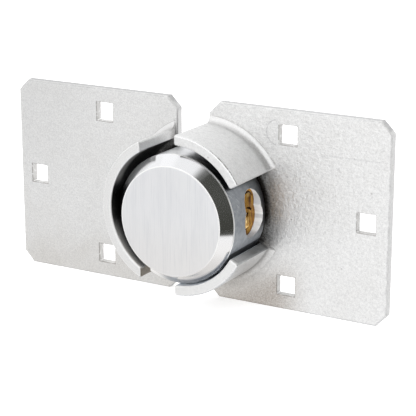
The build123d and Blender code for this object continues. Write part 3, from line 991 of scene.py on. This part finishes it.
def turned_brass(name, shell):
    """Turned brass, ringed round the shell's upper lobe or round the plug, with painted shade at the lobes'
    rims, in the rings and below the face, a painted dark stripe on the shell's upper lobe, and painted
    highlights.
    """
    r = new_finish(name)
    sizes = bpy.context.scene.case_sizes
    x, y, z = r.axes()
    across = y - plug_y
    rise = z - plug_z
    from_plug = r.length(across, rise)
    from_high = r.length(across, rise - sizes.lobe_rise)
    lathe = r.noise(0.3, 2.0, 0.7, at=r.join(x, from_high if shell else from_plug, 0.0))
    stain = r.noise(3.0, 3.0, 0.6)
    band = r.noise(1.8, 1.0, 0.5, stretch=(1, 1, 5), shift=3.0)
    stained = (stain.ramp(0.35, 0.75) * 0.4 + band.ramp(0.45, 0.6) * 0.7).least(1.0)
    shade = r.tint(stained, bpy.context.scene.lock_colours.brass, (0.42, 0.30, 0.20))
    # Painted shade at the lobes' rims.
    shaded = from_plug.ramp(8.4, 9.8) * rise.ramp(4.5, 3.5)
    shaded = shaded + from_high.ramp(7.0, 8.4) * rise.ramp(3.5, 4.5) * rise.ramp(15.0, 10.0)
    shaded = shaded * 0.6
    if shell:
        # Painted dark reflection in a stripe on the shell's upper lobe.
        stripe = across.near(2.6, 1.5, 0.7) * rise.ramp(4.0, 5.0) * rise.ramp(13.0, 11.5)
        shaded = shaded + stripe * 0.85
    shade = r.tint(shaded.least(1.0), shade, (0.30, 0.22, 0.10))
    shade = r.mix(lathe.ramp(0.5, 0.9) * 0.25, shade, (0.90, 0.62, 0.22))
    face_x = shell_high.x / MM - sizes.disc_proud
    cut = x.ramp(face_x - 0.05, face_x - 0.3)
    gap = from_plug.near(sizes.gap_r, 0.8, 0.4) * across.ramp(-1.0, 1.0)
    rough = stain * 0.16 + 0.14
    metallic = 1.0
    if shell:
        # Painted highlight high on the shell's upper lobe.
        bright = across.near(0.3, 2.0, 0.8) * rise.ramp(11.5, 13.0) * from_high.ramp(6.8, 6.4) * 0.55
        gap = gap.most(from_high.near(sizes.high_gap_r, 0.7, 0.4))
    else:
        # Painted highlight on the plug's face beside the key slot, with less metal and more roughness
        # there.
        slot_highlight = across.near(-0.3, 2.0, 1.2) * rise.ramp(1.6, -0.6) * rise.ramp(-6.6, -4.6)
        slot_highlight = slot_highlight * x.ramp(face_x - 1.2, face_x - 0.4)
        bright = slot_highlight * 0.9
        cut = cut * 0.25
        rough = rough + slot_highlight * 0.3
        metallic = 1.0 - slot_highlight * 0.7
    shade = r.mix(bright, shade, (1.0, 0.72, 0.30))
    # Painted shade below the face and in the rings round the plug and the upper lobe.
    shade = r.mix(cut.most(gap) * 0.85, shade, (0.07, 0.035, 0.012))
    return r.metal(shade, rough, r.bump(lathe, 0.006), metallic)


def plain_steel(name, colour, roughness, line, axis):
    """Ground or hardened steel with grinding lines along one axis."""
    r = new_finish(name)
    stretch = tuple(40 if i == axis else 1 for i in range(3))
    lines = r.noise(line, 3.0, 0.6, stretch=stretch)
    cloud = r.noise(5.0, 3.0, 0.6)
    shade = r.tint(cloud.ramp(0.35, 0.75) * 0.5, colour, (0.55, 0.54, 0.53))
    brighter = tuple(min(1.0, level * 1.6) for level in colour)
    shade = r.mix(lines.ramp(0.6, 0.85) * 0.25, shade, brighter)
    rough = lines * 0.14 + roughness - 0.07 + (cloud - 0.5) * 0.1
    return r.metal(shade, rough.most(0.08), r.bump(lines, 0.008))


def dress(material, *names):
    """Gives CAD nodes a finish in every one of their material slots."""
    for name in names:
        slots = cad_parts[name].material_slots
        if not slots:
            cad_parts[name].data.materials.append(material)
        for slot in slots:
            slot.material = material


class LOCK_OT_hasp_halves(bpy.types.Operator):
    """Finish the two forged hasp halves"""

    bl_idname = "lock.hasp_halves"
    bl_label = "Hasp halves"

    def execute(self, context):
        dress(forged_zinc("left_half_zinc", left=True), "left_plate")
        dress(forged_zinc("right_half_zinc", left=False), "right_plate")
        return {"FINISHED"}


class LOCK_OT_case(bpy.types.Operator):
    """Finish the lock's round case and its bore plug"""

    bl_idname = "lock.round_case"
    bl_label = "Round case"

    def execute(self, context):
        dress(case_finish("brushed_case"), "lock_body", "bore_plug")
        return {"FINISHED"}


class LOCK_OT_key_cylinder(bpy.types.Operator):
    """Finish the brass key cylinder and its pins"""

    bl_idname = "lock.key_cylinder"
    bl_label = "Key cylinder"

    def execute(self, context):
        shell = turned_brass("shell_brass", shell=True)
        plug = turned_brass("plug_brass_turned", shell=False)
        dress(shell, "cylinder_shell", "chamber_cover")
        dress(plug, "cylinder_plug")
        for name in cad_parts:
            if name.startswith(("key_pin_", "driver_pin_")):
                dress(plug, name)
        return {"FINISHED"}


class LOCK_OT_pin_springs(bpy.types.Operator):
    """Wind the five pin springs with closed ends, and finish the plug's clip"""

    bl_idname = "lock.pin_springs"
    bl_label = "Pin springs"

    def execute(self, context):
        steel = plain_steel("spring_wire", context.scene.lock_colours.spring_steel, 0.28, 0.2, 2)
        tree = spring_tree(steel)
        for number in range(1, 6):
            wind_spring(tree, number)
        dress(steel, "plug_clip")
        return {"FINISHED"}


class LOCK_OT_mechanism(bpy.types.Operator):
    """Finish the pin, slide, pinion, cover and screws"""

    bl_idname = "lock.mechanism"
    bl_label = "Mechanism"

    def execute(self, context):
        colours = context.scene.lock_colours
        dark = plain_steel("hardened_steel", colours.dark_steel, 0.32, 0.4, 2)
        black = plain_steel("blackened_steel", colours.black_steel, 0.4, 0.5, 1)
        ground = plain_steel("ground_steel", colours.ground_steel, 0.34, 0.5, 0)
        pin = plain_steel("plated_pin", colours.pin_steel, 0.16, 0.3, 2)
        dress(dark, "drive_pinion", "pin_slide", "slide_dowel")
        dress(black, "cover_screws", "cylinder_screw")
        dress(ground, "rear_cover", "slide_guide")
        dress(pin, "locking_pin")
        return {"FINISHED"}


class LOCK_OT_studio(bpy.types.Operator):
    """Set the floor, the room, the lights and the camera"""

    bl_idname = "lock.studio"
    bl_label = "Studio"

    def execute(self, context):
        studio = context.scene.studio_sizes
        make_floor(context, studio)
        make_room(context, studio)
        soft_light("front_softbox", studio.front_place, studio.softbox, studio.front_power)
        soft_light("top_softbox", studio.top_place, studio.softbox, studio.top_power)
        make_camera(context, studio)
        return {"FINISHED"}


def spring_tree(material):
    """A tree that winds a coil with closed ends from its named sizes."""
    tree = bpy.data.node_groups.new("coil_spring", "GeometryNodeTree")
    tree.interface.new_socket("Geometry", in_out="OUTPUT", socket_type="NodeSocketGeometry")
    for name in ("Foot", "Height", "Coil Radius", "Wire Radius", "Turns", "Closed Ends", "X", "Y"):
        tree.interface.new_socket(name, in_out="INPUT", socket_type="NodeSocketFloat")
    asked = tree.nodes.new("NodeGroupInput").outputs
    given = tree.nodes.new("NodeGroupOutput").inputs

    def add(kind, output, inputs, **settings):
        """Adds a node, gives its sockets values or links, and returns one output."""
        made = tree.nodes.new(kind)
        for name, value in settings.items():
            setattr(made, name, value)
        for name, value in inputs.items():
            if isinstance(value, bpy.types.NodeSocket):
                tree.links.new(value, made.inputs[name])
            else:
                made.inputs[name].default_value = value
        return made.outputs[output]

    def number(operation, a, b):
        """A Math node on two sockets."""
        return add("ShaderNodeMath", 0, {0: a, 1: b}, operation=operation)

    coil = add("GeometryNodeCurveSpiral", "Curve", {
        "Resolution": 20,
        "Rotations": asked["Turns"],
        "Start Radius": asked["Coil Radius"],
        "End Radius": asked["Coil Radius"],
        "Height": asked["Height"],
    })
    along = add("GeometryNodeSplineParameter", "Factor", {})
    eased = add("ShaderNodeMapRange", "Result", {"Value": along}, interpolation_type="SMOOTHSTEP")
    closing = number("MULTIPLY", number("SUBTRACT", eased, along), asked["Closed Ends"])
    rise = add("ShaderNodeCombineXYZ", "Vector", {"Z": number("MULTIPLY", closing, asked["Height"])})
    closed = add("GeometryNodeSetPosition", "Geometry", {"Geometry": coil, "Offset": rise})
    foot = add("ShaderNodeCombineXYZ", "Vector", {"X": asked["X"], "Y": asked["Y"], "Z": asked["Foot"]})
    placed = add("GeometryNodeTransform", "Geometry", {"Geometry": closed, "Translation": foot})
    section = add("GeometryNodeCurvePrimitiveCircle", "Curve", {
        "Resolution": 10,
        "Radius": asked["Wire Radius"],
    })
    wire = add("GeometryNodeCurveToMesh", "Mesh", {
        "Curve": placed,
        "Profile Curve": section,
        "Fill Caps": True,
    })
    smooth = add("GeometryNodeSetShadeSmooth", "Geometry", {"Geometry": wire})
    whole = add("GeometryNodeRealizeInstances", "Geometry", {"Geometry": smooth})
    finished = add("GeometryNodeSetMaterial", "Geometry", {"Geometry": whole, "Material": material})
    tree.links.new(finished, given["Geometry"])
    return tree


def wind_spring(tree, number):
    """Makes one pin spring as a plain mesh and lets it stand for the CAD one."""
    sizes = bpy.context.scene.spring_sizes
    low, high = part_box(f"pin_spring_{number}")
    middle = (low + high) / 2
    wire = sizes.wire_r * MM
    values = {
        "Foot": low.z + wire,
        "Height": high.z - low.z - 2 * wire,
        "Coil Radius": sizes.coil_r * MM,
        "Wire Radius": wire,
        "Turns": float(sizes.turns),
        "Closed Ends": sizes.end_share,
        "X": middle.x,
        "Y": middle.y,
    }
    holder = bpy.data.objects.new(f"winding_{number}", bpy.data.meshes.new(f"winding_{number}"))
    bpy.context.scene.collection.objects.link(holder)
    winder = holder.modifiers.new("coil", "NODES")
    winder.node_group = tree
    for item in tree.interface.items_tree:
        if item.in_out == "INPUT":
            winder[item.identifier] = values[item.name]
    bpy.context.view_layer.update()
    ready = holder.evaluated_get(bpy.context.evaluated_depsgraph_get())
    mesh = bpy.data.meshes.new_from_object(ready)
    bpy.data.objects.remove(holder)
    spring = bpy.data.objects.new(f"wound_spring_{number}", mesh)
    bpy.context.scene.collection.objects.link(spring)
    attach(spring, "lock")
    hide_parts(f"pin_spring_{number}")
    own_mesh(spring)


def make_floor(context, studio):
    """A wide pale floor under the object, which the metal doesn't mirror."""
    low = cad_box[0].z
    reach = studio.floor_reach
    corners = [(-reach, -reach, low), (reach, -reach, low), (reach, reach, low), (-reach, reach, low)]
    mesh = bpy.data.meshes.new("floor")
    mesh.from_pydata(corners, [], [(0, 1, 2, 3)])
    floor = bpy.data.objects.new("floor", mesh)
    context.scene.collection.objects.link(floor)
    r = new_finish("pale_floor")
    colour = r.colour(context.scene.lock_colours.floor)
    inputs = {
        "Base Color": colour,
        "Roughness": 1.0,
        "Specular IOR Level": 0.0,
        "Emission Color": colour,
        "Emission Strength": studio.floor_glow,
    }
    surface = r.node("ShaderNodeBsdfPrincipled", inputs=inputs)
    r.node("ShaderNodeOutputMaterial", inputs={"Surface": surface})
    mesh.materials.append(r.owner)
    floor.visible_glossy = False


def make_room(context, studio):
    """The room's light: pale, with the dark parts that polished steel mirrors."""
    world = bpy.data.worlds.new("studio_room")
    context.scene.world = world
    r = Recipe(world)
    x, y, z = r.split(r.node("ShaderNodeTexCoord", output="Generated"))
    back_right = y.ramp(0.3, 0.75) * x.ramp(-0.6, 0.7) * (z.ramp(-0.3, 0.3) * 0.08 + 0.06)
    front_left = y.ramp(-0.3, -0.8) * x.ramp(-0.25, -0.8) * 0.36
    overhead = z.ramp(0.5, 0.85) * (x.ramp(-0.5, -0.35) * 0.1 + 0.06)
    ground = z.ramp(-0.75, -1.0) * 0.2
    level = (1.0 - back_right - front_left - overhead - ground) * studio.room
    dark_wall = x.ramp(0.06, 0.3) * z.ramp(-0.46, -0.41) * y.ramp(-0.52, -0.44) * y.ramp(0.5, 0.1)
    low_blue = y.ramp(0.08, 0.3) * y.ramp(0.62, 0.5) * z.ramp(-0.5, -0.7)
    light = r.mix(dark_wall, r.grey(level), (0.052, 0.053, 0.045))
    light = r.mix(low_blue * 0.8, light, (0.30, 0.335, 0.38))
    mirrored = r.node("ShaderNodeLightPath", output="Is Glossy Ray")
    light = r.mix(mirrored, (studio.backdrop,) * 3, light)
    glow = r.node("ShaderNodeBackground", inputs={"Color": light, "Strength": 1.0})
    r.node("ShaderNodeOutputWorld", inputs={"Surface": glow})


def soft_light(name, place, size, power):
    """A square softbox aimed at the middle of the object."""
    data = bpy.data.lights.new(name, "AREA")
    data.energy = power
    data.size = size
    lamp = bpy.data.objects.new(name, data)
    bpy.context.scene.collection.objects.link(lamp)
    place = Vector(place)
    aim = (-place).to_track_quat("-Z", "Y").to_matrix().to_4x4()
    lamp.matrix_world = Matrix.Translation(place) @ aim


def make_camera(context, studio):
    """The camera at the photograph's angle."""
    data = bpy.data.cameras.new("photo_camera")
    data.lens = studio.lens
    data.sensor_width = 36.0
    data.clip_start = 0.01
    data.clip_end = 100.0
    camera = bpy.data.objects.new("photo_camera", data)
    context.scene.collection.objects.link(camera)
    camera.location = studio.place
    camera.rotation_euler = (math.pi / 2 - studio.pitch, 0.0, studio.yaw)
    context.scene.camera = camera
    context.scene.view_settings.view_transform = "Standard"


class LOCK_PT_panel(bpy.types.Panel):
    """Lists the steps that finish the van lock"""

    bl_idname = "LOCK_PT_panel"
    bl_label = "Van Lock"
    bl_space_type = "VIEW_3D"
    bl_region_type = "UI"
    bl_category = "Van Lock"

    def draw(self, context):
        for step in steps:
            self.layout.operator(step.bl_idname)


groups = {
    "hasp_sizes": HaspSizes,
    "case_sizes": CaseSizes,
    "spring_sizes": SpringSizes,
    "lock_colours": LockColours,
    "studio_sizes": StudioSizes,
}
steps = [
    LOCK_OT_hasp_halves,
    LOCK_OT_case,
    LOCK_OT_key_cylinder,
    LOCK_OT_pin_springs,
    LOCK_OT_mechanism,
    LOCK_OT_studio,
]


def register():
    for cls in [*groups.values(), *steps, LOCK_PT_panel]:
        bpy.utils.register_class(cls)
    for name, group in groups.items():
        setattr(bpy.types.Scene, name, PointerProperty(type=group))


def unregister():
    for name in groups:
        delattr(bpy.types.Scene, name)
    for cls in [LOCK_PT_panel, *reversed(steps), *groups.values()]:
        bpy.utils.unregister_class(cls)


def main():
    """Registers the add-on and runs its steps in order."""
    register()
    bpy.ops.lock.hasp_halves()
    bpy.ops.lock.round_case()
    bpy.ops.lock.key_cylinder()
    bpy.ops.lock.pin_springs()
    bpy.ops.lock.mechanism()
    bpy.ops.lock.studio()


if __name__ == "__main__":
    main()
